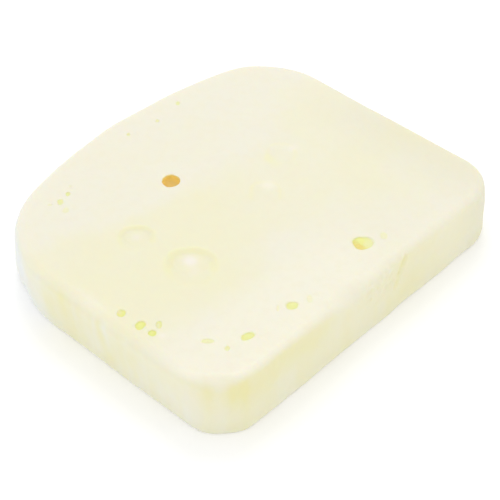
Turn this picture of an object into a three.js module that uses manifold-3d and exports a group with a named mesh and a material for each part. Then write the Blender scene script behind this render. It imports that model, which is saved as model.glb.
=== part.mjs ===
// Thick slice cut across a small loaf of semi-soft, small-eyed, rindless cheese.
//
// The slice lies on its lower cut face. Seen from above it has one straight side
// (front, -Y), two nearly parallel straight sides (left, -X, and right, +X) and a
// long flat arc at the back (+Y), joined by four corners of different radii. It is
// a little thicker at the front left than at the back right. The walls stand
// nearly square to the cut faces: the left one leans in towards its foot, and the
// others spread a little. The upper rim is soft and the lower rim is tight.
//
// Both cut faces are open-textured: a few round eyes, some wide shallow dishes
// where the knife has just opened a bubble, and a scatter of pinholes near the rim.
//
// Frame: millimetres, +Z up, origin under the middle of the slice on the face it
// rests on, +X along the width.

import * as THREE from "three";
import { mergeVertices } from "three/addons/utils/BufferGeometryUtils.js";
import Module from "manifold-3d";

// ---- driving dimensions (mm) -------------------------------------------------
const WIDTH = 100; // left wall to right wall
const DEPTH = 84.67; // straight front side to the crown of the back arc
const THICKNESS = 16.37; // at x = 0, y = THICKNESS_REF_Y from the front side
const THICKNESS_REF_Y = 45;
const SLOPE_X = -0.01292; // thickness gained per mm towards +X
const SLOPE_Y = -0.01376; // thickness gained per mm towards +Y
const BACK_RADIUS = 130.7; // the long flat arc
const BACK_CENTRE_X = 1.81; // its centre, right of the middle
const R_FRONT_LEFT = 12.3; // plan radii of the four corners
const R_FRONT_RIGHT = 10.93;
const R_BACK_RIGHT = 20.49;
const R_BACK_LEFT = 29.09;
const NARROWING = 0.0048; // the width shrinks by this share from front to back
const LOWER_RIM = 1.23; // radius of the lower rim

// Round the outline, by the direction that the wall faces (degrees from +X):
// [direction, upper rim radius, how far the wall leans in per mm downwards].
const WALLS = [
  [-90, 1.9, -0.033], // front
  [-47, 1.7, -0.075], // front right corner
  [0, 1.75, -0.12], // right
  [45, 2.0, -0.1], // back right corner
  [90, 2.3, -0.09], // back
  [133, 2.6, -0.092], // back left corner
  [155, 2.8, 0.035], // where the back left corner runs into the left wall
  [180, 3.1, 0.1], // left
  [225, 3.0, 0.034], // front left corner
];

const OUTLINE_POINTS = 112;
const LOWER_RIM_STEPS = 3;
const WALL_STEPS = 1;
const UPPER_RIM_STEPS = 4;

// Openings in the upper face: [x, y, width, length, depth, bulge], x and y from the
// middle of the front side. A bulge over 0 makes the opening wider below its mouth.
const UPPER_EYES = [
  [-5.8, 57.64, 4.4, 4.8, 4.2, 0.22], // the deep round eye
  [8.94, 9.54, 4.9, 4.2, 2.4, 0.05], // the eye by the front side
  [14.35, 7.6, 1.9, 3.2, 0.4, 0],
  // shallow dishes
  [-23.7, 33.1, 11.9, 12.6, 0.95, 0],
  [-25.8, 48.8, 9.1, 9.7, 0.7, 0],
  [20.5, 45.0, 8.1, 9.3, 0.4, 0],
  [6.5, 37.8, 8.6, 9.6, 0.35, 0],
  // pinholes along the left rim
  [-45.2, 33.5, 2.2, 2.4, 1.3, 0.1],
  [-45.1, 27.7, 2.6, 2.8, 1.5, 0.1],
  [-44.7, 24.2, 2.0, 2.1, 1.3, 0.1],
  [-41.9, 24.6, 1.5, 2.2, 0.5, 0],
  // pinholes along the front
  [-38.3, 13.6, 3.2, 2.3, 0.7, 0],
  [-37.0, 8.9, 1.1, 1.2, 0.7, 0],
  [-31.0, 7.9, 2.8, 2.6, 1.6, 0.1],
  [-17.6, 7.6, 3.1, 3.0, 1.6, 0.05],
  [-13.6, 6.1, 1.8, 1.9, 0.4, 0],
  // pinholes along the back
  [16.9, 78.1, 1.7, 2.0, 1.2, 0.1],
  [8.3, 76.8, 1.5, 1.9, 1.1, 0.1],
  [-0.45, 78.2, 1.5, 2.1, 1.2, 0.1],
  [-26.0, 72.3, 1.4, 2.0, 1.2, 0.1],
  [-29.3, 71.2, 1.8, 2.3, 1.3, 0.1],
  [-31.8, 72.3, 1.2, 1.3, 0.8, 0],
  [-30.3, 68.5, 1.6, 1.8, 0.5, 0],
];

// The same in the lower face.
const LOWER_EYES = [
  [18.5, 58.5, 4.0, 4.4, 3.2, 0.15],
  [-21.0, 20.5, 3.6, 3.2, 2.4, 0.1],
  [31.0, 24.0, 9.4, 8.6, 0.7, 0],
  [-14.5, 63.0, 8.2, 7.6, 0.5, 0],
  [40.5, 47.0, 2.0, 2.3, 1.3, 0.1],
  [-42.0, 40.0, 2.2, 2.0, 1.2, 0.1],
  [-38.5, 52.5, 1.8, 2.1, 1.1, 0.1],
  [8.0, 11.0, 2.4, 2.0, 1.3, 0.1],
  [-5.0, 76.5, 1.8, 1.8, 1.2, 0.1],
];

// ---- outline ------------------------------------------------------------------
// Plan outline, anticlockwise from above, as one closed path of lines and arcs.
function outlineShape() {
  const half = WIDTH / 2;
  const backY = DEPTH - BACK_RADIUS;
  // A corner of radius r that touches a straight side wall and the back arc.
  const backCorner = (side, r) => {
    const x = side * (half - r);
    return [x, backY + Math.sqrt((BACK_RADIUS - r) ** 2 - (x - BACK_CENTRE_X) ** 2)];
  };
  const [rx, ry] = backCorner(1, R_BACK_RIGHT);
  const [lx, ly] = backCorner(-1, R_BACK_LEFT);
  const a0 = Math.atan2(ry - backY, rx - BACK_CENTRE_X);
  const a1 = Math.atan2(ly - backY, lx - BACK_CENTRE_X);
  const s = new THREE.Shape();
  s.moveTo(-half + R_FRONT_LEFT, 0);
  s.lineTo(half - R_FRONT_RIGHT, 0);
  s.absarc(half - R_FRONT_RIGHT, R_FRONT_RIGHT, R_FRONT_RIGHT, -Math.PI / 2, 0, false);
  s.lineTo(half, ry);
  s.absarc(rx, ry, R_BACK_RIGHT, 0, a0, false);
  s.absarc(BACK_CENTRE_X, backY, BACK_RADIUS, a0, a1, false);
  s.absarc(lx, ly, R_BACK_LEFT, a1, Math.PI, false);
  s.lineTo(-half, R_FRONT_LEFT);
  s.absarc(-half + R_FRONT_LEFT, R_FRONT_LEFT, R_FRONT_LEFT, Math.PI, 1.5 * Math.PI, false);
  return s;
}

// Values of WALLS at a wall direction, eased from one entry to the next.
function wallAt(nx, ny) {
  let deg = (Math.atan2(ny, nx) * 180) / Math.PI;
  if (deg < WALLS[0][0]) deg += 360;
  for (let i = 0; i < WALLS.length; i++) {
    const a = WALLS[i];
    const b = WALLS[(i + 1) % WALLS.length];
    const end = b[0] > a[0] ? b[0] : b[0] + 360;
    if (deg <= end) {
      const u = (deg - a[0]) / (end - a[0]);
      const w = (1 - Math.cos(Math.PI * u)) / 2;
      return [a[1] + (b[1] - a[1]) * w, a[2] + (b[2] - a[2]) * w];
    }
  }
  return [WALLS[0][1], WALLS[0][2]];
}

const thicknessAt = (x, y) => THICKNESS + SLOPE_X * x + SLOPE_Y * (y - THICKNESS_REF_Y);

// ---- body ---------------------------------------------------------------------
function slabGeometry() {
  const pts = outlineShape().getSpacedPoints(OUTLINE_POINTS).slice(0, OUTLINE_POINTS);
  for (const p of pts) p.x *= 1 - (NARROWING * (p.y - DEPTH / 2)) / DEPTH;
  const n = pts.length;
  const normals = pts.map((_, i) => {
    const a = pts[(i + n - 1) % n];
    const b = pts[(i + 1) % n];
    return new THREE.Vector2(b.y - a.y, a.x - b.x).normalize();
  });
  const rings = [];
  const ring = (zOf, offOf) =>
    rings.push(
      pts.map((p, i) => {
        const [rim, lean] = wallAt(normals[i].x, normals[i].y);
        const t = thicknessAt(p.x, p.y);
        const z = zOf(t, rim);
        const off = offOf(rim) + lean * (t - z);
        return [p.x - normals[i].x * off, p.y - normals[i].y * off, z];
      }),
    );
  for (let k = 0; k <= LOWER_RIM_STEPS; k++) {
    const a = (Math.PI / 2) * (k / LOWER_RIM_STEPS);
    ring(() => LOWER_RIM * (1 - Math.cos(a)), () => LOWER_RIM * (1 - Math.sin(a)));
  }
  for (let k = 1; k < WALL_STEPS; k++) {
    const u = k / WALL_STEPS;
    ring((t, rim) => LOWER_RIM + (t - rim - LOWER_RIM) * u, () => 0);
  }
  for (let k = 0; k <= UPPER_RIM_STEPS; k++) {
    const a = (Math.PI / 2) * (k / UPPER_RIM_STEPS);
    ring((t, rim) => t - rim * (1 - Math.sin(a)), (rim) => rim * (1 - Math.cos(a)));
  }
  // The upper face is one flat plane: its rim ring is set on that plane.
  const last = rings[rings.length - 1];
  for (const q of last) q[2] = thicknessAt(q[0], q[1]);

  const position = rings.flat(2);
  const index = [];
  for (let r = 0; r + 1 < rings.length; r++) {
    for (let i = 0; i < n; i++) {
      const j = (i + 1) % n;
      const a = r * n + i;
      const b = r * n + j;
      index.push(a, b, b + n, a, b + n, a + n);
    }
  }
  const cap = (r, up) => {
    const contour = rings[r].map((q) => new THREE.Vector2(q[0], q[1]));
    for (const [a, b, c] of THREE.ShapeUtils.triangulateShape(contour, [])) {
      if (up) index.push(r * n + a, r * n + b, r * n + c);
      else index.push(r * n + a, r * n + c, r * n + b);
    }
  };
  cap(0, false);
  cap(rings.length - 1, true);
  return new THREE.BufferGeometry()
    .setAttribute("position", new THREE.Float32BufferAttribute(position, 3))
    .setIndex(index);
}

// ---- eyes ---------------------------------------------------------------------
// A round cutter, mouth at z = 0, hollow going down: a spherical bowl that may
// swell below the mouth, with a straight collar above it.
function eyeCutter([, , width, length, depth, bulge]) {
  const size = Math.max(width, length);
  const steps = size > 7 ? 3 : size > 3.5 ? 5 : 3;
  const sides = size > 7 ? 18 : size > 3.5 ? 16 : 8;
  const profile = [];
  for (let k = 0; k <= steps; k++) {
    const a = (Math.PI / 2) * (k / steps);
    const r = k === 0 ? 0 : Math.sin(a) * (1 + bulge * Math.sin(2 * a));
    profile.push(new THREE.Vector2(0.5 * r, -depth * Math.cos(a)));
  }
  profile.push(new THREE.Vector2(0.5, 1.5), new THREE.Vector2(0, 1.5));
  const g = new THREE.LatheGeometry(profile, sides);
  g.rotateX(Math.PI / 2);
  g.scale(width, length, 1);
  return g;
}

// A closed geometry as a solid: positions only, shared corners merged, and the
// empty triangles that a lathe leaves on its axis dropped.
function solid(wasm, geometry) {
  const g = geometry.clone();
  for (const name of Object.keys(g.attributes)) if (name !== "position") g.deleteAttribute(name);
  const m = mergeVertices(g, 1e-4);
  const at = m.index.array;
  const triVerts = [];
  for (let i = 0; i < at.length; i += 3) {
    const [a, b, c] = [at[i], at[i + 1], at[i + 2]];
    if (a !== b && b !== c && c !== a) triVerts.push(a, b, c);
  }
  const make = (tris) =>
    new wasm.Manifold(
      new wasm.Mesh({
        numProp: 3,
        vertProperties: new Float32Array(m.attributes.position.array),
        triVerts: new Uint32Array(tris),
      }),
    );
  let s = make(triVerts);
  if (s.volume() < 0) {
    for (let i = 0; i < triVerts.length; i += 3) {
      [triVerts[i + 1], triVerts[i + 2]] = [triVerts[i + 2], triVerts[i + 1]];
    }
    s = make(triVerts);
  }
  return s;
}

function toGeometry(s) {
  const m = s.getMesh();
  const position = new Float32Array((m.vertProperties.length / m.numProp) * 3);
  for (let i = 0; i < position.length / 3; i++) {
    position.set(m.vertProperties.subarray(i * m.numProp, i * m.numProp + 3), i * 3);
  }
  return new THREE.BufferGeometry()
    .setAttribute("position", new THREE.BufferAttribute(position, 3))
    .setIndex(new THREE.BufferAttribute(new Uint32Array(m.triVerts), 1));
}

const wasm = await Module();
wasm.setup();

const body = slabGeometry();
body.computeBoundingBox();
const box = body.boundingBox;
const centre = new THREE.Vector2((box.min.x + box.max.x) / 2, (box.min.y + box.max.y) / 2);

let cheese = solid(wasm, body);
for (const eye of UPPER_EYES) {
  const g = eyeCutter(eye);
  g.translate(eye[0], eye[1], thicknessAt(eye[0], eye[1]));
  cheese = cheese.subtract(solid(wasm, g));
}
for (const eye of LOWER_EYES) {
  const g = eyeCutter(eye);
  g.rotateX(Math.PI);
  g.translate(eye[0], eye[1], 0);
  cheese = cheese.subtract(solid(wasm, g));
}

const geometry = toGeometry(cheese);
geometry.translate(-centre.x, -centre.y, 0);
geometry.computeVertexNormals();

const slab = new THREE.Mesh(
  geometry,
  new THREE.MeshStandardMaterial({ color: 0xf5f1d8, roughness: 0.55, metalness: 0 }),
);
slab.name = "cheese_slab";

const part = new THREE.Group();
part.add(slab);
export default part;
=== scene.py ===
"""Looks for a thick slice of a small, pale, semi-soft cheese loaf.

The slice's skin is one closed mesh, built in code: a ring grid for the walls and both rims, a
constrained triangulation for each cut face, and a bowl stitched into every eye. The shape is worked
in millimetres from the middle of the front side, then moved to the row frame in metres.
"""

import math

import bpy
import numpy as np
from mathutils import Matrix, Vector
from mathutils.geometry import delaunay_2d_cdt


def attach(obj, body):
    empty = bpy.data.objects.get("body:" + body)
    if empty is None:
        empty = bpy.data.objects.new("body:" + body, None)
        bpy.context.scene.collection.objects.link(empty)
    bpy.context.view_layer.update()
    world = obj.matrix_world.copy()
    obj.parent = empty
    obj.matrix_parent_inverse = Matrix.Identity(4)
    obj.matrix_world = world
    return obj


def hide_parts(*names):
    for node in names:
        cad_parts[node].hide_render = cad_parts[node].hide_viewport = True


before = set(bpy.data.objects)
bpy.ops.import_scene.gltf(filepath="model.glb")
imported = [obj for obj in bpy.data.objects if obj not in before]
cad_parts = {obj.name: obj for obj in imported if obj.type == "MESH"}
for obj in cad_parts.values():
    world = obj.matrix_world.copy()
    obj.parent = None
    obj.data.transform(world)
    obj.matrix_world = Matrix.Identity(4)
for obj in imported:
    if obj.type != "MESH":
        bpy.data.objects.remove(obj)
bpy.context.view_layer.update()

# ---- dimensions, mm --------------------------------------------------------------------
WIDTH = 100.0
DEPTH = 84.67
THICKNESS = 16.37
THICKNESS_REF_Y = 45.0
SLOPE_X = -0.01292
SLOPE_Y = -0.01376
BACK_RADIUS = 130.7
BACK_CENTRE_X = 1.81
R_FRONT_LEFT = 12.3
R_FRONT_RIGHT = 10.93
R_BACK_RIGHT = 20.49
R_BACK_LEFT = 29.09
NARROWING = 0.0048
LOWER_RIM = 1.23
CENTRE = (1.0532, 42.7219)  # middle of the footprint box

# direction the wall faces (degrees from +X), upper rim radius, lean in per mm downwards
WALLS = [
    (-90, 1.9, -0.033),
    (-47, 1.7, -0.075),
    (0, 1.75, -0.12),
    (45, 2.0, -0.1),
    (90, 2.3, -0.09),
    (133, 2.6, -0.092),
    (155, 2.8, 0.035),
    (180, 3.1, 0.1),
    (225, 3.0, 0.034),
]

AROUND = 760  # points round the outline
LOWER_STEPS = 5
WALL_STEPS = 30
UPPER_STEPS = 12

# ---- noise -----------------------------------------------------------------------------


class Noise:
    """Smooth value noise on a wrapped lattice, the same on every run."""

    def __init__(self, seed):
        self.table = np.random.default_rng(seed).uniform(-1.0, 1.0, (32, 32, 32))

    def __call__(self, p, size, octaves=1, gain=0.5):
        """p is n x 3 in mm, size one feature's width in mm (or one per axis)."""
        out = np.zeros(len(p))
        amp, total = 1.0, 0.0
        q = p / np.asarray(size, float)
        for k in range(octaves):
            out += amp * self._one(q + 7.31 * k)
            total += amp
            amp *= gain
            q = q * 2.03
        return out / total

    def _one(self, q):
        i = np.floor(q).astype(int)
        f = q - i
        f = f * f * f * (f * (f * 6 - 15) + 10)
        t = self.table
        a, b, c = (i % 32).T
        a1, b1, c1 = ((i + 1) % 32).T
        fx, fy, fz = f.T
        x00 = t[a, b, c] * (1 - fx) + t[a1, b, c] * fx
        x10 = t[a, b1, c] * (1 - fx) + t[a1, b1, c] * fx
        x01 = t[a, b, c1] * (1 - fx) + t[a1, b, c1] * fx
        x11 = t[a, b1, c1] * (1 - fx) + t[a1, b1, c1] * fx
        y0 = x00 * (1 - fy) + x10 * fy
        y1 = x01 * (1 - fy) + x11 * fy
        return 1.6 * (y0 * (1 - fz) + y1 * fz)


def smooth(a, b, x):
    t = np.clip((x - a) / (b - a), 0, 1)
    return t * t * (3 - 2 * t)


def bump(x, centre, width):
    return np.exp(-(((x - centre) / width) ** 2))


def near_line(u, v, points, width):
    """1 on a polyline in the (u, v) plane, falling to 0 over width."""
    best = np.full(len(u), 1e9)
    for (au, av), (bu, bv) in zip(points[:-1], points[1:]):
        du, dv = bu - au, bv - av
        t = np.clip(((u - au) * du + (v - av) * dv) / (du * du + dv * dv), 0, 1)
        best = np.minimum(best, np.hypot(u - au - t * du, v - av - t * dv))
    return np.exp(-((best / width) ** 2))


# ---- outline ---------------------------------------------------------------------------


def thickness(x, y):
    return THICKNESS + SLOPE_X * x + SLOPE_Y * (y - THICKNESS_REF_Y)


def outline(count):
    """Plan outline anticlockwise from above, evenly spaced, and its outward normals."""
    half = WIDTH / 2
    back_y = DEPTH - BACK_RADIUS

    def back_corner(side, r):
        x = side * (half - r)
        return x, back_y + math.sqrt((BACK_RADIUS - r) ** 2 - (x - BACK_CENTRE_X) ** 2)

    rx, ry = back_corner(1, R_BACK_RIGHT)
    lx, ly = back_corner(-1, R_BACK_LEFT)
    a0 = math.atan2(ry - back_y, rx - BACK_CENTRE_X)
    a1 = math.atan2(ly - back_y, lx - BACK_CENTRE_X)
    step = 0.05
    pts = []

    def line(x0, y0, x1, y1):
        n = max(2, int(math.hypot(x1 - x0, y1 - y0) / step))
        t = np.linspace(0, 1, n, endpoint=False)
        pts.append(np.c_[x0 + (x1 - x0) * t, y0 + (y1 - y0) * t])

    def arc(cx, cy, r, s, e):
        n = max(2, int(abs(e - s) * r / step))
        t = np.linspace(s, e, n, endpoint=False)
        pts.append(np.c_[cx + r * np.cos(t), cy + r * np.sin(t)])

    line(-half + R_FRONT_LEFT, 0, half - R_FRONT_RIGHT, 0)
    arc(half - R_FRONT_RIGHT, R_FRONT_RIGHT, R_FRONT_RIGHT, -math.pi / 2, 0)
    line(half, R_FRONT_RIGHT, half, ry)
    arc(rx, ry, R_BACK_RIGHT, 0, a0)
    arc(BACK_CENTRE_X, back_y, BACK_RADIUS, a0, a1)
    arc(lx, ly, R_BACK_LEFT, a1, math.pi)
    line(-half, ly, -half, R_FRONT_LEFT)
    arc(-half + R_FRONT_LEFT, R_FRONT_LEFT, R_FRONT_LEFT, math.pi, 1.5 * math.pi)
    p = np.vstack(pts)
    p[:, 0] *= 1 - NARROWING * (p[:, 1] - DEPTH / 2) / DEPTH
    # Evenly spaced, then eased where a straight side runs into a corner.
    for n in (6400, count):
        q = np.vstack([p, p[:1]])
        s = np.r_[0, np.cumsum(np.hypot(*np.diff(q, axis=0).T))]
        at = np.linspace(0, s[-1], n, endpoint=False)
        p = np.c_[np.interp(at, s, q[:, 0]), np.interp(at, s, q[:, 1])]
        if n == 6400:
            k = np.arange(-60, 61) * s[-1] / n
            w = np.exp(-0.5 * (k / 1.0) ** 2)
            w /= w.sum()
            p = sum(wi * np.roll(p, j, axis=0) for wi, j in zip(w, range(-60, 61)))
    d = np.roll(p, -1, 0) - np.roll(p, 1, 0)
    nrm = np.c_[d[:, 1], -d[:, 0]]
    return p, nrm / np.linalg.norm(nrm, axis=1)[:, None]


def walls_at(nrm):
    deg = np.degrees(np.arctan2(nrm[:, 1], nrm[:, 0]))
    deg = np.where(deg < WALLS[0][0], deg + 360, deg)
    rim, lean = np.zeros(len(deg)), np.zeros(len(deg))
    for i, a in enumerate(WALLS):
        b = WALLS[(i + 1) % len(WALLS)]
        end = b[0] if b[0] > a[0] else b[0] + 360
        on = (deg >= a[0]) & (deg <= end)
        w = (1 - np.cos(np.pi * (deg[on] - a[0]) / (end - a[0]))) / 2
        rim[on] = a[1] + (b[1] - a[1]) * w
        lean[on] = a[2] + (b[2] - a[2]) * w
    return rim, lean


# ---- openings --------------------------------------------------------------------------
# x, y, width, length, depth, bulge below the mouth, lip radius, turn (degrees), amber, tone, seed
UPPER_EYES = [
    (-5.8, 57.7, 4.5, 4.5, 3.3, 0.22, 0.18, 62, 1.0, 1.0, 1),
    (8.94, 9.6, 4.7, 4.6, 0.6, 0.0, 0.72, 0, 0.0, 1.1, 2),
    (-45.2, 33.5, 2.3, 1.9, 0.42, 0.0, 0.35, 43, 0.0, 0.95, 3),
    (-44.9, 27.75, 2.8, 2.2, 0.45, 0.0, 0.3, 26, 0.1, 1.05, 4),
    (-44.8, 24.15, 1.75, 1.9, 0.45, 0.0, 0.33, -30, 0.1, 1.15, 5),
    (-42.0, 24.9, 2.3, 1.25, 0.33, 0.0, 0.35, 43, 0.0, 0.75, 6),
    (-38.3, 13.6, 2.7, 1.4, 0.25, 0.0, 0.65, -47, 0.0, 0.5, 7),
    (-37.0, 8.95, 1.4, 1.1, 0.22, 0.0, 0.5, 43, 0.0, 0.55, 8),
    (-31.3, 8.2, 3.3, 2.0, 0.42, 0.0, 0.65, -13, 0.1, 0.85, 9),
    (-17.65, 7.55, 2.9, 2.4, 0.42, 0.0, 0.6, -26, 0.1, 0.85, 10),
    (-13.4, 6.1, 2.4, 1.2, 0.12, 0.0, 0.8, 43, 0.0, 0.22, 11),
    (14.2, 7.45, 2.4, 1.6, 0.14, 0.0, 0.7, 43, 0.0, 0.30, 12),
    (16.9, 78.1, 1.4, 1.0, 0.25, 0.0, 0.4, 43, 0.0, 0.6, 13),
    (8.3, 76.8, 1.2, 0.9, 0.22, 0.0, 0.4, 43, 0.0, 0.5, 14),
    (-0.45, 78.2, 1.3, 0.9, 0.22, 0.0, 0.4, 43, 0.0, 0.5, 15),
    (-26.1, 72.25, 1.5, 1.0, 0.28, 0.0, 0.4, 43, 0.0, 0.72, 16),
    (-29.3, 71.4, 2.0, 1.45, 0.28, 0.0, 0.45, 43, 0.0, 0.62, 17),
    (-31.7, 72.4, 0.7, 1.1, 0.12, 0.0, 0.35, 43, 0.0, 0.28, 18),
    (-30.45, 68.2, 1.8, 1.4, 0.14, 0.0, 0.5, 43, 0.0, 0.32, 19),
    (-23.85, 73.85, 0.9, 0.6, 0.10, 0.0, 0.4, 43, 0.0, 0.22, 31),
    (-20.5, 9.2, 1.9, 0.7, 0.10, 0.0, 0.5, 43, 0.0, 0.20, 32),
]
LOWER_EYES = [
    (18.5, 58.5, 4.0, 4.4, 3.2, 0.15, 0.2, 0, 0.9, 1.0, 21),
    (-21.0, 20.5, 3.6, 3.2, 1.6, 0.05, 0.45, 0, 0.3, 0.95, 22),
    (40.5, 47.0, 1.7, 2.0, 0.7, 0.0, 0.34, 0, 0.1, 0.85, 23),
    (-42.0, 40.0, 1.9, 1.7, 0.7, 0.0, 0.34, 0, 0.1, 0.85, 24),
    (-38.5, 52.5, 1.5, 1.8, 0.6, 0.0, 0.3, 0, 0.0, 0.7, 25),
    (8.0, 11.0, 2.1, 1.7, 0.7, 0.0, 0.36, 0, 0.1, 0.85, 26),
    (-5.0, 76.5, 1.4, 1.4, 0.5, 0.0, 0.28, 0, 0.0, 0.6, 27),
]
# Wide shallow dishes: x, y, width, length, depth, wall share on the far side, on the near side
UPPER_DISHES = [
    (-24.0, 32.8, 12.9, 13.6, 0.75, 0.34, 0.85),
    (-25.9, 48.8, 9.4, 9.8, 0.60, 0.38, 0.85),
    (20.0, 45.0, 8.1, 9.3, 0.32, 0.6, 0.95),
    (6.5, 37.8, 8.6, 9.6, 0.28, 0.6, 0.95),
]
# painted highlights in and beside the dishes (first list), and small deep yellow patches (second list): x, y, radius,
# amount
PAINTED_GLINT_SPOTS = [
    (-22.2, 34.9, 1.8, 1.0),
    (-24.2, 31.6, 2.0, 0.35),
    (-25.1, 49.8, 1.6, 0.5),
    (23.6, 44.8, 1.5, 0.55),
    (9.3, 39.5, 2.2, 0.5),
    (-43.9, 21.9, 1.1, 0.6),
]
DEEP_SPOTS = [
    (16.5, 46.1, 1.6, 0.7),
    (15.8, 43.0, 2.2, 0.35),
    (2.6, 39.6, 1.8, 0.25),
    (8.2, 34.0, 2.4, 0.15),
]
# painted highlights on the floors of the front left eyes: x, y, radius, share
PAINTED_EYE_GLINTS = [
    (-45.2, 34.3, 0.5, 0.6),
    (-42.1, 25.0, 0.5, 0.6),
]
LOWER_DISHES = [
    (31.0, 24.0, 9.4, 8.6, 0.6, 0.45, 0.9),
    (-14.5, 63.0, 8.2, 7.6, 0.45, 0.45, 0.9),
]
# the second largest eye's mouth, by the direction from its middle (degrees): a blunt shield
SHIELD = [(-169, 2.05), (-115, 2.3), (-57, 2.0), (-3, 2.6), (23, 2.8), (87, 1.95), (159, 2.4)]
ACROSS = np.array([0.684, -0.729])
DEEP_SIDE = np.array([-1.0, 0.0])  # the side on which the second largest eye runs deeper
FAR = np.array([0.729, 0.684])  # the direction in which the knife lifted out of a dish


def dish_place(x, y, cx, cy, w, l):
    """How far out in a dish a point is (1 at its edge), and how far round to its far side (0 to 1)."""
    across = ((x - cx) * FAR[1] - (y - cy) * FAR[0]) / (w / 2)
    along = ((x - cx) * FAR[0] + (y - cy) * FAR[1]) / (l / 2)
    r = (np.abs(across) ** 2.5 + np.abs(along) ** 2.5) ** 0.4 + 1e-9
    return r, 0.5 + 0.5 * along / (np.hypot(across, along) + 1e-9)


def dish_depth(x, y, dishes):
    h = np.zeros(len(x))
    for cx, cy, w, l, depth, far, near in dishes:
        r, side = dish_place(x, y, cx, cy, w, l)
        share = near + (far - near) * smooth(0.15, 0.75, side)
        h -= depth * (1 - smooth(1 - share, 1.0, r))
    return h


coarse, fine, grain = Noise(11), Noise(12), Noise(13)


def upper_relief(x, y):
    """Height of the upper cut face over its plane, by place: the knife's gentle waves and the dishes."""
    p = np.c_[x, y, np.zeros(len(x))]
    h = 0.11 * coarse(p, 26.0) + 0.03 * fine(p, 8.0) + 0.008 * grain(p, 2.6, 2) - 0.06
    return h + dish_depth(x, y, UPPER_DISHES)


# ---- mesh ------------------------------------------------------------------------------


class Skin:
    def __init__(self):
        self.co, self.tri, self.data, self.count = [], [], {}, 0

    def add(self, co, **data):
        co = np.asarray(co, float)
        start = self.count
        self.co.append(co)
        self.count += len(co)
        for name in ATTRS:
            value = data.get(name, 0.0)
            self.data.setdefault(name, []).append(np.broadcast_to(np.asarray(value, float), (len(co),)))
        return np.arange(start, self.count)

    def band(self, low, high, flip=False):
        """Joins two closed rings with the same number of points; low to high faces out anticlockwise."""
        a, b = low, high
        a1, b1 = np.roll(a, -1), np.roll(b, -1)
        t = np.vstack([np.c_[a, a1, b1], np.c_[a, b1, b]])
        self.tri.append(t[:, ::-1] if flip else t)


ATTRS = ("pit", "amber", "wall", "dark", "pale_and_lit", "core", "painted_light", "painted_reflection", "ring", "painted_glint", "painted_shade", "gold")
skin = Skin()


def wall_relief(s_xy, nrm, z, t):
    """Outward relief of the walls, how deep and how pale the paste looks there, and painted highlights on the torn
    lips.
    """
    x, y = s_xy[:, 0], s_xy[:, 1]
    p = np.c_[x, y, z]
    front = smooth(0.75, 0.99, -nrm[:, 1])
    left = smooth(0.9, 0.99, -nrm[:, 0])
    turn = np.degrees(np.arctan2(nrm[:, 1], nrm[:, 0])) % 360
    high = z / t
    # long vertical drags from the mould and the knife, broad swells, and a fine curd texture
    drag = 0.55 * fine(p, (1.5, 1.5, 24.0)) + 0.45 * grain(p, (3.6, 3.6, 30.0))
    mottle = 0.6 * fine(p, 2.6, 2) + 0.4 * coarse(p, 5.5)
    d = 0.12 * coarse(p, 15.0) + 0.02 * drag + 0.05 * mottle * (0.5 + front) + 0.015 * grain(p, 1.3)
    dark = 0.36 + (0.10 + 0.16 * left) * drag + 0.14 * coarse(p, (9.0, 9.0, 9.0)) + 0.14 * mottle
    pale_and_lit = 0.10 * smooth(0.2, 0.9, fine(p + 40.0, (3.0, 3.0, 4.5), 2))
    wander = 0.4 * coarse(p, (5, 5, 5))
    foot = smooth(0.0, 4.0, z)
    # left side: soft upright bands, deeper and paler by turns
    for cy, w, upper, lower in BANDS:
        k = left * bump(y + wander, cy, w) * (1 - smooth(0.9, 1.0, high))
        amount = lower + (upper - lower) * smooth(0.3, 0.75, high)
        dark += amount * k
        d -= 0.04 * amount * k * foot
    dark += 0.35 * left * bump(y, 34.6, 1.3) * bump(z, 4.4, 1.8)
    # front left corner: a pale upright ridge beside a deeper band
    for deg, w, upper, lower in CORNER_BANDS:
        k = bump(turn + 1.5 * wander, deg, w)
        amount = lower + (upper - lower) * smooth(0.3, 0.85, high)
        dark += amount * k
        d -= 0.08 * amount * k * foot
    # front side: deeper at its left under the rim, paler along the middle of its rim
    dark += front * (1 - smooth(-20.0, -9.0, x)) * (0.50 * smooth(0.40, 0.75, high) + 0.04)
    dark -= 0.32 * front * smooth(0.72, 0.92, high) * smooth(-13.0, -7.0, x) * (1 - smooth(6.0, 10.0, x))
    dark += 0.11 * front * bump(x, 6.0, 14.0) * (1 - smooth(0.3, 0.7, high))
    dark -= 0.16 * front * smooth(14.0, 30.0, x) + 0.14 * front * bump(x, -9.0, 8.0)
    # the torn place in the front side, under its rim
    torn = front * smooth(-3.0, 1.0, x) * (1 - smooth(11.0, 16.0, x)) * smooth(6.0, 11.0, z)
    crack = front * near_line(x, z, CRACK, 0.8)
    d += torn * (0.16 * fine(p, 2.1, 2) + 0.10 * grain(p, 0.9)) - 0.28 * crack
    d -= 0.22 * front * bump(x, 16.0, 4.5) * bump(z, 10.0, 5.0) * foot
    dark += 0.42 * crack + 0.30 * front * bump(x, 17.0, 4.5) * bump(z, 4.5, 3.5)
    # the torn lips: a little outward relief and a painted highlight on each
    for cx, cz, wx, wz, out, lip_highlight in TORN_LIPS:
        k = front * np.exp(-(((x - cx) / wx) ** 2) - ((z - cz) / wz) ** 2)
        pale_and_lit += lip_highlight * k
        d += out * k
    return d, dark, pale_and_lit, front


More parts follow.
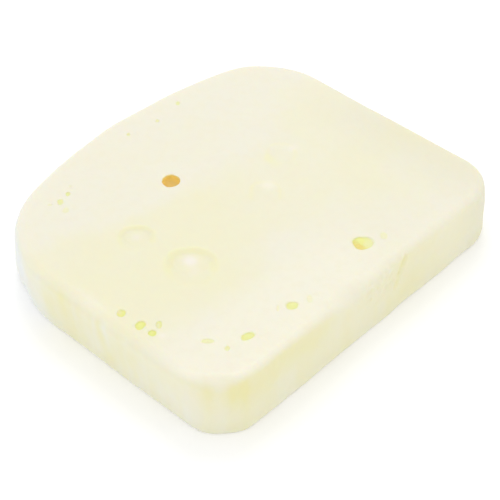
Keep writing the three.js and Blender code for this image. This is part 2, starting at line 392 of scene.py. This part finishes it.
# left side bands: y, half width, deeper (+) or paler (-) in the upper part and in the lower part
BANDS = [
    (58.0, 2.5, -0.12, -0.22),
    (52.3, 1.3, 0.10, 0.02),
    (49.2, 1.6, 0.55, 0.32),
    (46.2, 0.8, 0.10, 0.10),
    (43.2, 1.2, 0.15, 0.15),
    (40.2, 0.8, 0.12, -0.1),
    (38.5, 0.6, -0.3, -0.2),
    (36.6, 0.9, 0.50, 0.05),
    (34.2, 0.8, -0.42, 0.05),
    (30.8, 1.0, 0.05, -0.1),
    (28.2, 0.8, -0.18, -0.3),
    (25.2, 1.0, 0.05, -0.3),
    (22.5, 0.8, -0.08, -0.25),
    (18.5, 2.0, -0.25, -0.25),
    (14.0, 1.2, 0.08, -0.2),
]
# front left corner: direction the wall faces, half width in degrees, amount above and below
CORNER_BANDS = [
    (198.0, 9.0, 0.0, -0.15),
    (218.0, 8.0, 0.55, -0.05),
    (233.5, 4.0, 0.28, -0.14),
    (243.0, 5.5, 0.85, 0.15),
    (256.0, 8.0, 0.72, 0.12),
]
# the crack and the torn lips of the front side: x, z (and half width, half height, relief, painted highlight)
CRACK = [(13.4, 15.2), (12.0, 13.2), (10.6, 10.9), (9.9, 8.4)]
TORN_LIPS = [
    (8.2, 14.6, 1.0, 0.7, 0.10, 0.7),
    (0.8, 14.6, 1.2, 0.8, 0.10, 0.5),
    (4.6, 13.4, 1.1, 0.8, 0.05, 0.35),
    (-9.5, 12.5, 1.6, 0.9, 0.02, 0.2),
]
# a painted highlight streak on the front rim, at x = 28 mm
RIM_HIGHLIGHT_AMOUNT = 0.35


def painted_reflection_share(nrm, x, y, z):
    """Painted reflection: the back left corner is paled towards grey-white, fading both ways."""
    p = np.c_[x, y, z]
    place = y + 1.2 * coarse(p, 7.0) + 0.6 * fine(p, 3.0) + 3.0 * (1 - smooth(2.0, 9.0, z))
    left = smooth(50.0, 71.0, place)
    back = smooth(-4.0, -35.0, x + 3.5 * coarse(p, 11.0) + 1.2 * fine(p, 4.0, 2))
    turn = np.degrees(np.arctan2(nrm[:, 1], nrm[:, 0])) % 360
    side = 0.62 + 0.38 * smooth(112.0, 148.0, turn) * (1 - smooth(275.0, 320.0, turn))
    return back * left * side * (0.92 + 0.12 * fine(p, 4.5, 2))


def core_share(x, y):
    """How yellow the paste is: a broad band across the slice, strongest on its left, and a faint one at the front right."""
    p = np.c_[x, y, np.zeros(len(x))]
    v = y + 5.5 * coarse(p, 21.0) + 1.8 * fine(p, 7.0, 2)
    band = smooth(15.0, 29.0, v) * (1 - smooth(50.0, 62.0, v)) * (1 - 0.5 * smooth(-6.0, 12.0, x + 3.0 * fine(p, 12.0)))
    right = 0.5 * np.exp(-(((x - 30.0) / 17.0) ** 2) - ((y - 18.0) / 13.0) ** 2)
    right = right + 0.35 * smooth(38.0, 48.0, x) * (1 - smooth(26.0, 40.0, y))
    return np.clip(band + right, 0, 1)


def painted_shade_share(x, y):
    """Painted shade: the right end of the slice is darkened a little."""
    return smooth(30.0, 48.0, x) * (1 - smooth(36.0, 62.0, y))


def painted_light_share(x, y):
    """Painted light: the front left of a cut face is lightened, with a painted highlight along the left rim."""
    edge = 0.75 * smooth(-44.5, -47.5, x) * bump(y, 41.0, 6.0)
    return np.maximum((1 - smooth(10.0, 24.0, y)) * (1 - smooth(-2.0, 18.0, x)), edge)


def build_walls():
    o, nrm = outline(AROUND)
    rim, lean = walls_at(nrm)
    x, y = o[:, 0], o[:, 1]
    flat = np.c_[x, y, np.zeros(AROUND)]
    front = smooth(0.9, 0.99, -nrm[:, 1])
    # the upper rim rolls over softly along part of the front side
    rim = rim * (1 + 0.12 * coarse(flat, 9.0)) + front * (2.6 * bump(x, -4.5, 5.0) + 0.9 * bump(x, 7.0, 4.0))
    rim += 0.9 * smooth(0.35, 0.7, -nrm[:, 0]) * smooth(0.35, 0.7, -nrm[:, 1])
    turn = np.degrees(np.arctan2(nrm[:, 1], nrm[:, 0])) % 360
    lower = LOWER_RIM * (1 + 0.2 * fine(flat, 7.0)) * (1 - 0.45 * smooth(170, 190, turn) * (1 - smooth(255, 268, turn)))
    lower = lower + 1.45 * smooth(112, 140, turn) * (1 - smooth(158, 177, turn))
    lower = lower + 0.8 * smooth(272, 312, turn) * (1 - smooth(314, 356, turn))
    t = thickness(x, y)

    rows = []  # offset inwards, height, share of upward facing
    for k in range(LOWER_STEPS + 1):
        a = math.pi / 2 * k / LOWER_STEPS
        rows.append((lower * (1 - math.sin(a)), lower * (1 - math.cos(a)), -math.cos(a)))
    for k in range(1, WALL_STEPS):
        rows.append((0 * x, lower + (t - rim - lower) * k / WALL_STEPS, 0.0))
    for k in range(UPPER_STEPS + 1):
        a = math.pi / 2 * k / UPPER_STEPS
        rows.append((rim * (1 - math.cos(a)), t - rim * (1 - math.sin(a)), math.sin(a)))

    rings = []
    for off, z, up in rows:
        z = np.broadcast_to(z, x.shape)
        q = o - nrm * (off + lean * (t - z))[:, None]
        relief, dark, pale_and_lit, face = wall_relief(o, nrm, z, t)
        keep = smooth(0.0, 1.6, z) * (1 - smooth(0.55, 1.0, np.full(len(x), up)))
        q = q - nrm * 0.06  # leaves room for the relief inside the overall size
        # the front right and back left corners swell a little
        q = q + nrm * (0.35 * bump(turn, 313, 22) * bump(z, 10.5, 4.5))[:, None]
        q = q + nrm * (0.3 * bump(turn, 132, 17) * smooth(1.5, 5.0, z))[:, None]
        q = q + nrm * (relief * keep * math.sqrt(max(0.0, 1 - up * up)))[:, None]
        top = 1 - smooth(0.0, 4.0, t - z)
        zz = z + upper_relief(q[:, 0], q[:, 1]) * top * smooth(-0.2, 0.5, np.full(len(x), up))
        if up > -0.01:
            reach = 1.15 - 0.4 * smooth(0.6, 0.95, -nrm[:, 0])
            wall = smooth(0.05 * rim, reach * rim, t - z)
        else:
            wall = np.full(len(x), 1 - smooth(0.3, 1.0, np.array([-up]))[0])
        # painted light on the cut face's front left and left rim, kept off the walls
        painted_light = painted_light_share(q[:, 0], q[:, 1]) * (1 - wall)
        # painted highlight streak on the front rim
        rim_light = RIM_HIGHLIGHT_AMOUNT * bump(x, 28.0, 3.0) * front * bump(np.full(len(x), up), 0.75, 0.3)
        rings.append(
            skin.add(
                np.c_[q, zz],
                wall=wall,
                dark=dark,
                pale_and_lit=pale_and_lit * wall + rim_light,
                core=core_share(q[:, 0], q[:, 1]),
                painted_light=painted_light,
                # painted shade at the right end
                painted_shade=painted_shade_share(q[:, 0], q[:, 1]) * (0.5 + 0.5 * wall),
                # painted reflection on the back left corner
                painted_reflection=painted_reflection_share(nrm, x, y, z) * smooth(0.0 * rim, 0.75 * rim, t - z),
            )
        )
    for a, b in zip(rings[:-1], rings[1:]):
        skin.band(a, b)
    return rings[0], rings[-1]


def inside(px, py, poly):
    """Whether points are inside a closed polygon."""
    x0, y0 = poly[:, 0], poly[:, 1]
    x1, y1 = np.roll(x0, -1), np.roll(y0, -1)
    out = np.zeros(len(px), bool)
    for a, b, c, d in zip(x0, y0, x1, y1):
        if b == d:
            continue
        cross = ((b > py) != (d > py)) & (px < (c - a) * (py - b) / (d - b) + a)
        out ^= cross
    return out


def distance(px, py, poly):
    best = np.full(len(px), 1e9)
    for qx, qy in poly:
        best = np.minimum(best, (px - qx) ** 2 + (py - qy) ** 2)
    return np.sqrt(best)


def mouth(eye):
    """The opening's irregular round outline, about the eye's own centre."""
    x, y, w, l, depth, bulge, lip, turn, amber, tone, seed = eye
    rng = np.random.default_rng(1000 + seed)
    n = int(max(26, math.pi * (w + l) / 2 / 0.24))
    a = np.linspace(0, 2 * math.pi, n, endpoint=False)
    if seed == 2:
        at = np.array([math.radians(k) for k, _ in SHIELD])
        r = np.interp(a, np.r_[at, at + 2 * math.pi, at + 4 * math.pi], [r for _, r in SHIELD] * 3)
        for _ in range(6):
            r = (np.roll(r, 1) + 2 * r + np.roll(r, -1)) / 4
        m = (r * np.cos(a))[:, None] * ACROSS + (r * np.sin(a))[:, None] * FAR
        return m
    wobble = np.ones(n)
    for k, size in ((2, 0.035), (3, 0.045), (4, 0.025), (5, 0.02)):
        wobble += rng.uniform(0.4, 1.0) * size * np.cos(k * a + rng.uniform(0, 6.28))
    u, v = w / 2 * wobble * np.cos(a), l / 2 * wobble * np.sin(a)
    c, s = math.cos(math.radians(turn)), math.sin(math.radians(turn))
    return np.c_[c * u - s * v, s * u + c * v]


def build_cap(edge, eyes, dishes, upper, spacing):
    edge_xy = np.vstack(skin.co)[edge][:, :2]
    sign = 1.0 if upper else -1.0

    def height(x, y):
        if upper:
            return thickness(x, y) + upper_relief(x, y)
        return -dish_depth(x, y, dishes)

    holes, loose = [], []
    for eye in eyes:
        m = mouth(eye)
        r = np.linalg.norm(m, axis=1)[:, None]
        lip = eye[6]
        c = np.array(eye[:2])
        outer = c + m * (1 + lip / r)
        holes.append((c, m, outer))
        # rings of points round the eye, wider apart further out
        g, out = 0.22, lip
        for _ in range(5):
            out += g
            g *= 1.35
            loose.append(c + m * (1 + out / r))
    for cx, cy, w, l, depth, far, near in dishes:
        for k in np.arange(0.06, 1.22, 0.045):
            n = max(8, int(math.pi * (w + l) / 2 * k / 0.42))
            a = np.linspace(0, 2 * math.pi, n, endpoint=False) + k * 3
            loose.append(np.c_[cx + w / 2 * k * np.cos(a), cy + l / 2 * k * np.sin(a)])
    # rings that step in from the rim
    mid = edge_xy.mean(0)
    d = np.roll(edge_xy, -1, 0) - np.roll(edge_xy, 1, 0)
    nrm = np.c_[d[:, 1], -d[:, 0]] / np.linalg.norm(d, axis=1)[:, None]
    for inset, every in ((0.45, 1), (0.95, 1), (1.6, 2)):
        loose.append((edge_xy - nrm * inset)[::every])
    special = np.vstack(loose)
    xs = np.arange(-WIDTH / 2, WIDTH / 2, spacing)
    ys = np.arange(0, DEPTH, spacing * math.sqrt(3) / 2)
    gx, gy = np.meshgrid(xs, ys)
    gx = gx + (np.arange(len(ys)) % 2)[:, None] * spacing / 2
    rng = np.random.default_rng(77 if upper else 78)
    grid = np.c_[gx.ravel(), gy.ravel()] + rng.uniform(-0.12, 0.12, (gx.size, 2)) * spacing
    grid = grid[inside(grid[:, 0], grid[:, 1], edge_xy)]
    grid = grid[distance(grid[:, 0], grid[:, 1], edge_xy[::2]) > 1.6 + 0.5 * spacing]

    def clear(points, gap):
        """Keeps the points that are inside the rim and off every eye."""
        ok = inside(points[:, 0], points[:, 1], edge_xy)
        for c, m, outer in holes:
            close = np.hypot(*(points - c).T) < 6.5
            idx = np.flatnonzero(ok & close)
            if len(idx):
                bad = inside(points[idx, 0], points[idx, 1], c + (outer - c) * (1 + gap / np.linalg.norm(outer - c, axis=1))[:, None])
                ok[idx[bad]] = False
        return points[ok]

    special = clear(special, 0.16)
    # thin out special points that fall on each other, then grid points that fall on them
    kept = thin(special, 0.2)
    grid = clear(grid, 0.3)
    grid = grid[nearest(grid, kept) > 0.62 * spacing]
    free = np.vstack([kept, grid])

    loops = [edge_xy] + [outer for _, _, outer in holes]
    verts, edges, at = [], [], 0
    for loop in loops:
        n = len(loop)
        verts += [tuple(q) for q in loop]
        edges += [(at + i, at + (i + 1) % n) for i in range(n)]
        at += n
    fixed = at
    verts += [tuple(q) for q in free]
    out_v, _, out_f, orig_v, _, _ = delaunay_2d_cdt([Vector(v) for v in verts], edges, [], 0, 1e-5)
    back = np.array([o[0] for o in orig_v])
    tri = back[np.array([list(f) for f in out_f if len(f) == 3])]
    xy = np.array(verts)
    mid = xy[tri].mean(1)
    keep = inside(mid[:, 0], mid[:, 1], edge_xy)
    for c, m, outer in holes:
        idx = np.flatnonzero(keep & (np.hypot(*(mid - c).T) < 6.5))
        keep[idx[inside(mid[idx, 0], mid[idx, 1], outer)]] = False
    tri = tri[keep]
    p, q, r = xy[tri[:, 0]], xy[tri[:, 1]], xy[tri[:, 2]]
    area = (q[:, 0] - p[:, 0]) * (r[:, 1] - p[:, 1]) - (q[:, 1] - p[:, 1]) * (r[:, 0] - p[:, 0])
    tri[area < 0] = tri[area < 0][:, ::-1]

    # the vertices: the rim's own, each eye's outer ring, then the free ones
    number = np.empty(len(verts), int)
    number[: len(edge)] = edge
    at = len(edge)
    for (c, m, outer), eye in zip(holes, eyes):
        n = len(outer)
        z = height(outer[:, 0], outer[:, 1])
        number[at : at + n] = skin.add(np.c_[outer, z], **face_paint(outer[:, 0], outer[:, 1], dishes))
        build_bowl(number[at : at + n], c, m, eye, height, sign)
        at += n
    if len(free):
        number[at:] = skin.add(
            np.c_[free, height(free[:, 0], free[:, 1])], **face_paint(free[:, 0], free[:, 1], dishes)
        )
    skin.tri.append(number[tri] if upper else number[tri][:, ::-1])
    return fixed


def face_paint(x, y, dishes):
    """Where a cut face is yellower (the core, the walls of its dishes), and where light and shade are painted on it:
    highlights in its dishes, light at its front left, shade at its right end.
    """
    ring, painted_glint = np.zeros(len(x)), np.zeros(len(x))
    for cx, cy, w, l, depth, far, near in dishes:
        r, side = dish_place(x, y, cx, cy, w, l)
        strength = min(1.0, 0.12 + 1.2 * depth) * (1 + 0.35 * fine(np.c_[x, y, 0 * x], 3.2))
        half = 0.17 - 0.05 * smooth(0.6, 0.9, side)
        ring += strength * bump(r, 1.0 - half, half) * (0.25 + 0.75 * smooth(0.05, 0.5, side))
        ring += 0.25 * strength * (1 - smooth(0.6, 1.0, r))
    if len(dishes):
        # painted highlights in and beside the dishes
        for cx, cy, r, amount in PAINTED_GLINT_SPOTS if dishes is UPPER_DISHES else []:
            painted_glint += amount * np.exp(-((x - cx) ** 2 + (y - cy) ** 2) / r**2)
        for cx, cy, r, amount in DEEP_SPOTS if dishes is UPPER_DISHES else []:
            ring += amount * np.exp(-((x - cx) ** 2 + (y - cy) ** 2) / r**2)
    return {
        "core": core_share(x, y),
        "painted_light": painted_light_share(x, y),
        "ring": ring,
        "painted_glint": painted_glint,
        "painted_shade": 0.5 * painted_shade_share(x, y),
    }


def nearest(points, others, chunk=2000):
    out = np.empty(len(points))
    for i in range(0, len(points), chunk):
        d = points[i : i + chunk, None, :] - others[None, :, :]
        out[i : i + chunk] = np.sqrt((d**2).sum(-1).min(1))
    return out


def thin(points, gap):
    """Drops points closer than gap to an earlier one, by a hash grid."""
    cells, kept = {}, []
    for q in points:
        i, j = int(math.floor(q[0] / gap)), int(math.floor(q[1] / gap))
        hit = False
        for a in (i - 1, i, i + 1):
            for b in (j - 1, j, j + 1):
                for o in cells.get((a, b), ()):
                    if (o[0] - q[0]) ** 2 + (o[1] - q[1]) ** 2 < gap * gap:
                        hit = True
        if not hit:
            cells.setdefault((i, j), []).append(q)
            kept.append(q)
    return np.array(kept)


def build_bowl(ring, c, m, eye, height, sign):
    """The lip and the bowl of one eye, from its outer ring on the cut face down to its lowest point."""
    x, y, w, l, depth, bulge, lip, turn, amber, tone, seed = eye
    r = np.linalg.norm(m, axis=1)[:, None]
    drop = min(lip, 0.45 * depth)
    last = ring
    flip = sign < 0
    rng = Noise(300 + seed)

    def add(xy, z, pit):
        p3 = np.c_[xy, z]
        rough = 0.035 * min(w, l) * rng(p3, 0.35 * min(w, l), 2) * min(1.0, pit * 2)
        xy = xy + m / r * rough[:, None]
        lean = (m @ DEEP_SIDE) / r[:, 0] if seed == 2 else np.zeros(len(m))
        across = (m @ -ACROSS) / r[:, 0] if seed == 2 else np.zeros(len(m))
        deep = pit * tone * (1 + 0.4 * across)
        gold = np.clip(pit * (0.22 + 0.62 * lean), 0, 1) if seed == 2 else np.zeros(len(m))
        # painted highlights: the bowl colour fades back towards the paste on two eye floors
        for gx, gy, gr, share in PAINTED_EYE_GLINTS:
            deep = deep * (1 - share * np.exp(-((xy[:, 0] - gx) ** 2 + (xy[:, 1] - gy) ** 2) / gr**2))
        paint = face_paint(xy[:, 0], xy[:, 1], [])
        return skin.add(np.c_[xy, z], pit=deep, amber=amber * pit, gold=gold, **paint)

    # the lip: a quarter round
    for k in (1, 2, 3, 4):
        a = math.pi / 2 * k / 4
        xy = c + m * (1 + lip * (1 - math.sin(a)) / r)
        z = height(xy[:, 0], xy[:, 1]) - sign * drop * (1 - math.cos(a))
        idx = add(xy, z, 0.42 * (k / 4) ** 1.5)
        skin.band(last, idx, flip)
        last = idx
    steps = max(6, int(depth / 0.22) + 4)
    top = height(np.array([c[0]]), np.array([c[1]]))[0] - sign * drop
    for k in range(1, steps):
        a = math.pi / 2 * (1 - k / steps)
        share = math.sin(a) * (1 + bulge * math.sin(2 * a))
        xy = c + m * share
        base = height(xy[:, 0], xy[:, 1]) - sign * drop
        z = base * share + top * (1 - share) - sign * (depth - drop) * math.cos(a)
        idx = add(xy, z, min(1.0, 0.42 + 0.58 * smooth(0, 0.5, np.array(math.cos(a)))))
        skin.band(last, idx, flip)
        last = idx
    pole = skin.add([[c[0], c[1], top - sign * (depth - drop)]], pit=tone, amber=amber, core=0.5)[0]
    n = len(last)
    nxt = np.roll(last, -1)
    t = np.c_[last, nxt, np.full(n, pole)]
    skin.tri.append(t[:, ::-1] if flip else t)


low_edge, high_edge = build_walls()
build_cap(high_edge, UPPER_EYES, UPPER_DISHES, True, 0.95)
build_cap(low_edge, LOWER_EYES, LOWER_DISHES, False, 1.6)

co = np.vstack(skin.co)
tris = np.vstack(skin.tri).astype(np.int64)
co[:, 0] -= CENTRE[0]
co[:, 1] -= CENTRE[1]
co[:, 2] = np.maximum(co[:, 2], 0.0)
print("skin:", len(co), "vertices,", len(tris), "triangles")

mesh = bpy.data.meshes.new("cheese_paste")
mesh.vertices.add(len(co))
mesh.vertices.foreach_set("co", (co * 0.001).ravel())
mesh.loops.add(len(tris) * 3)
mesh.loops.foreach_set("vertex_index", tris.ravel())
mesh.polygons.add(len(tris))
mesh.polygons.foreach_set("loop_start", np.arange(0, len(tris) * 3, 3))
mesh.polygons.foreach_set("loop_total", np.full(len(tris), 3))
mesh.update(calc_edges=True)
mesh.validate()
mesh.polygons.foreach_set("use_smooth", np.ones(len(mesh.polygons), bool))
for name in ATTRS:
    layer = mesh.attributes.new(name, "FLOAT", "POINT")
    layer.data.foreach_set("value", np.concatenate(skin.data[name]).astype(np.float32))
slab = bpy.data.objects.new("cheese_paste", mesh)
bpy.context.scene.collection.objects.link(slab)


# ---- material --------------------------------------------------------------------------


class Tree:
    def __init__(self, material):
        material.use_nodes = True
        self.t = material.node_tree
        self.t.nodes.clear()

    def node(self, kind, **settings):
        n = self.t.nodes.new(kind)
        for key, value in settings.items():
            setattr(n, key, value)
        return n

    def link(self, a, b):
        self.t.links.new(a, b)

    def attr(self, name):
        n = self.node("ShaderNodeAttribute")
        n.attribute_type = "GEOMETRY"
        n.attribute_name = name
        return n.outputs["Fac"]

    def math(self, op, a, b=None, clamp=False):
        n = self.node("ShaderNodeMath", operation=op, use_clamp=clamp)
        for socket, value in zip(n.inputs, (a, b)):
            if value is None:
                continue
            if isinstance(value, (int, float)):
                socket.default_value = value
            else:
                self.link(value, socket)
        return n.outputs[0]

    def range(self, value, a, b, c, d, smooth_step=True):
        n = self.node("ShaderNodeMapRange")
        n.interpolation_type = "SMOOTHSTEP" if smooth_step else "LINEAR"
        self.link(value, n.inputs["Value"])
        for key, v in (("From Min", a), ("From Max", b), ("To Min", c), ("To Max", d)):
            n.inputs[key].default_value = v
        return n.outputs["Result"]

    def noise(self, vector, scale, detail=2.0, rough=0.5, distortion=0.0):
        n = self.node("ShaderNodeTexNoise")
        self.link(vector, n.inputs["Vector"])
        n.inputs["Scale"].default_value = scale
        n.inputs["Detail"].default_value = detail
        n.inputs["Roughness"].default_value = rough
        n.inputs["Distortion"].default_value = distortion
        return n.outputs["Fac"]

    def mix(self, fac, a, b, blend="MIX"):
        n = self.node("ShaderNodeMix", data_type="RGBA", blend_type=blend)
        if isinstance(fac, (int, float)):
            n.inputs[0].default_value = fac
        else:
            self.link(fac, n.inputs[0])
        for socket, value in ((n.inputs[6], a), (n.inputs[7], b)):
            if isinstance(value, tuple):
                socket.default_value = (*value, 1.0)
            else:
                self.link(value, socket)
        return n.outputs[2]


def paste_material():
    m = bpy.data.materials.new("cheese_paste")
    t = Tree(m)
    where = t.node("ShaderNodeTexCoord").outputs["Object"]
    wall, dark, pale_and_lit = t.attr("wall"), t.attr("dark"), t.attr("pale_and_lit")
    pit, amber = t.attr("pit"), t.attr("amber")

    core, painted_reflection, ring, painted_glint, painted_light, painted_shade = (t.attr(n) for n in ("core", "painted_reflection", "ring", "painted_glint", "painted_light", "painted_shade"))
    # the paste: ivory, yellower towards the core, with faint broad clouds
    clouds = t.noise(where, 60.0, 2.0, 0.5, 0.3)
    cloud = t.range(clouds, 0.35, 0.68, -0.16, 0.16)
    paste = t.mix(t.math("ADD", core, cloud, True), (0.862, 0.831, 0.690), (0.860, 0.828, 0.600))
    # painted light: the front left of the cut faces and a strip by the left rim lightened
    paste = t.mix(t.range(painted_light, 0.0, 1.0, 0.0, 0.8, False), paste, (0.895, 0.862, 0.710))
    # curd grain: the faint mottling of pressed curds
    curd = t.noise(where, 420.0, 3.0, 0.55)
    paste = t.mix(t.range(curd, 0.4, 0.75, 0.0, 0.25), paste, (0.842, 0.800, 0.590))
    # the dishes: yellower walls, and painted highlights on their floors and beside an eye
    paste = t.mix(t.range(ring, 0.0, 1.0, 0.0, 0.5), paste, (0.880, 0.848, 0.500))
    paste = t.mix(t.range(painted_glint, 0.0, 1.0, 0.0, 0.75), paste, (0.925, 0.866, 0.800))
    # the walls: a little deeper in colour, with bands
    darker = t.range(dark, -0.2, 1.3, 0.0, 1.0, False)
    wall_c = t.mix(darker, (0.830, 0.810, 0.665), (0.815, 0.772, 0.418))
    # paler patches, and painted highlights on the torn lips and the front rim
    lighter = t.range(pale_and_lit, 0.0, 1.0, 0.0, 0.8)
    wall_c = t.mix(lighter, wall_c, (0.880, 0.868, 0.775))
    colour = t.mix(wall, paste, wall_c)
    # painted reflection: the back left corner paled towards grey-white
    colour = t.mix(t.range(painted_reflection, 0.0, 1.0, 0.0, 0.95), colour, (0.787, 0.798, 0.755))
    # painted shade: the right end darkened by up to 9 per cent
    colour = t.mix(t.range(painted_shade, 0.0, 1.0, 0.0, 0.09, False), colour, (0.0, 0.0, 0.0))
    # eyes: yellower down the bowl, paler under the painted highlights on two eye floors, amber where deep
    colour = t.mix(t.range(pit, 0.0, 1.0, 0.0, 1.0, False), colour, (0.832, 0.842, 0.290))
    colour = t.mix(t.range(t.attr("gold"), 0.0, 1.0, 0.0, 1.0), colour, (0.850, 0.710, 0.200))
    colour = t.mix(t.range(amber, 0.25, 0.6, 0.0, 1.0), colour, (1.0, 0.79, 0.298))

    shader = t.node("ShaderNodeBsdfPrincipled")
    out = t.node("ShaderNodeOutputMaterial")
    t.link(shader.outputs[0], out.inputs[0])
    t.link(colour, shader.inputs["Base Color"])
    shader.subsurface_method = "RANDOM_WALK"
    shader.inputs["Subsurface Weight"].default_value = 0.35
    shader.inputs["Subsurface Radius"].default_value = (1.0, 0.75, 0.32)
    shader.inputs["Subsurface Scale"].default_value = 0.004
    shader.inputs["IOR"].default_value = 1.46
    shader.inputs["Specular IOR Level"].default_value = 0.5
    shader.inputs["Coat Weight"].default_value = 0.12
    shader.inputs["Coat Roughness"].default_value = 0.28
    # roughness: satin, moister in broad patches
    moist = t.noise(where, 90.0, 3.0, 0.6)
    rough = t.range(moist, 0.3, 0.75, 0.40, 0.54)
    rough = t.math("SUBTRACT", rough, t.math("MULTIPLY", pit, 0.12))
    rough = t.math("ADD", rough, t.math("MULTIPLY", wall, 0.08))
    t.link(rough, shader.inputs["Roughness"])
    # fine relief: pores and curd grain, and faint knife drag
    pores = t.node("ShaderNodeTexVoronoi", feature="F1")
    t.link(where, pores.inputs["Vector"])
    pores.inputs["Scale"].default_value = 900.0
    pore = t.range(pores.outputs["Distance"], 0.0, 0.35, -1.0, 0.0)
    sparse = t.range(t.noise(where, 260.0, 2.0), 0.5, 0.72, 0.0, 1.0)
    relief = t.math("MULTIPLY", pore, sparse)
    relief = t.math("ADD", relief, t.math("MULTIPLY", curd, 1.2))
    relief = t.math("ADD", relief, t.math("MULTIPLY", t.noise(where, 1500.0, 2.0, 0.6), 0.4))
    b = t.node("ShaderNodeBump")
    b.inputs["Strength"].default_value = 0.22
    b.inputs["Distance"].default_value = 0.0002
    t.link(relief, b.inputs["Height"])
    t.link(b.outputs[0], shader.inputs["Normal"])
    return m


mesh.materials.append(paste_material())
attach(slab, "root")
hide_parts("cheese_slab")


# ---- stage -----------------------------------------------------------------------------


def floor():
    size = 2.5
    me = bpy.data.meshes.new("floor")
    me.from_pydata([(-size, -size, 0), (size, -size, 0), (size, size, 0), (-size, size, 0)], [], [(0, 1, 2, 3)])
    o = bpy.data.objects.new("floor", me)
    bpy.context.scene.collection.objects.link(o)
    m = bpy.data.materials.new("floor")
    t = Tree(m)
    shader = t.node("ShaderNodeBsdfPrincipled")
    out = t.node("ShaderNodeOutputMaterial")
    t.link(shader.outputs[0], out.inputs[0])
    shader.inputs["Base Color"].default_value = (0.97, 0.97, 0.97, 1)
    shader.inputs["Emission Color"].default_value = (1, 1, 1, 1)
    shader.inputs["Emission Strength"].default_value = 0.10
    shader.inputs["Roughness"].default_value = 0.9
    shader.inputs["Specular IOR Level"].default_value = 0.1
    me.materials.append(m)
    o.location = (0, 0, -0.00005)


def area(name, place, target, size, power, colour=(1, 1, 1)):
    data = bpy.data.lights.new(name, "AREA")
    data.shape = "DISK"
    data.size = size
    data.energy = power
    data.color = colour
    o = bpy.data.objects.new(name, data)
    o.location = place
    o.rotation_euler = (Vector(target) - Vector(place)).to_track_quat("-Z", "Y").to_euler()
    bpy.context.scene.collection.objects.link(o)


floor()
area("cool_side", (-0.62, 0.50, 0.10), (-0.045, 0.025, 0.008), 0.25, 0.32, (0.02, 0.22, 1.0))
area("overhead", (0.308, 0.289, 0.906), (0, 0, 0), 0.35, 1.15)
area("back_left", (-0.70, 0.62, 0.35), (-0.02, 0.0, 0.0), 0.4, 0.12)

world = bpy.data.worlds.new("studio")
bpy.context.scene.world = world
world.use_nodes = True
world.node_tree.nodes["Background"].inputs[0].default_value = (1, 1, 1, 1)
world.node_tree.nodes["Background"].inputs[1].default_value = 0.94

scene = bpy.context.scene
scene.view_settings.view_transform = "Standard"
scene.view_settings.look = "None"
scene.view_settings.exposure = 0.0
scene.view_settings.gamma = 1.0

# ---- camera ----------------------------------------------------------------------------
AZ, EL = -0.8173904, 0.7634737  # seen from the front left, 44 degrees up
DISTANCE = 0.38108876
TARGET = Vector((-0.00533683, -0.00982633, 0.00818521))
cam_data = bpy.data.cameras.new("camera")
cam_data.sensor_fit = "HORIZONTAL"
cam_data.sensor_width = 36.0
cam_data.lens = 1600.0 / 500.0 * 36.0
cam_data.clip_start = 0.01
cam_data.clip_end = 20.0
camera = bpy.data.objects.new("camera", cam_data)
scene.collection.objects.link(camera)
back = Vector((math.sin(AZ) * math.cos(EL), -math.cos(AZ) * math.cos(EL), math.sin(EL)))
right = (-back).cross(Vector((0, 0, 1))).normalized()
up = right.cross(-back)
place = TARGET + back * DISTANCE
camera.matrix_world = Matrix(
    (
        (right.x, up.x, back.x, place.x),
        (right.y, up.y, back.y, place.y),
        (right.z, up.z, back.z, place.z),
        (0, 0, 0, 1),
    )
)
scene.camera = camera
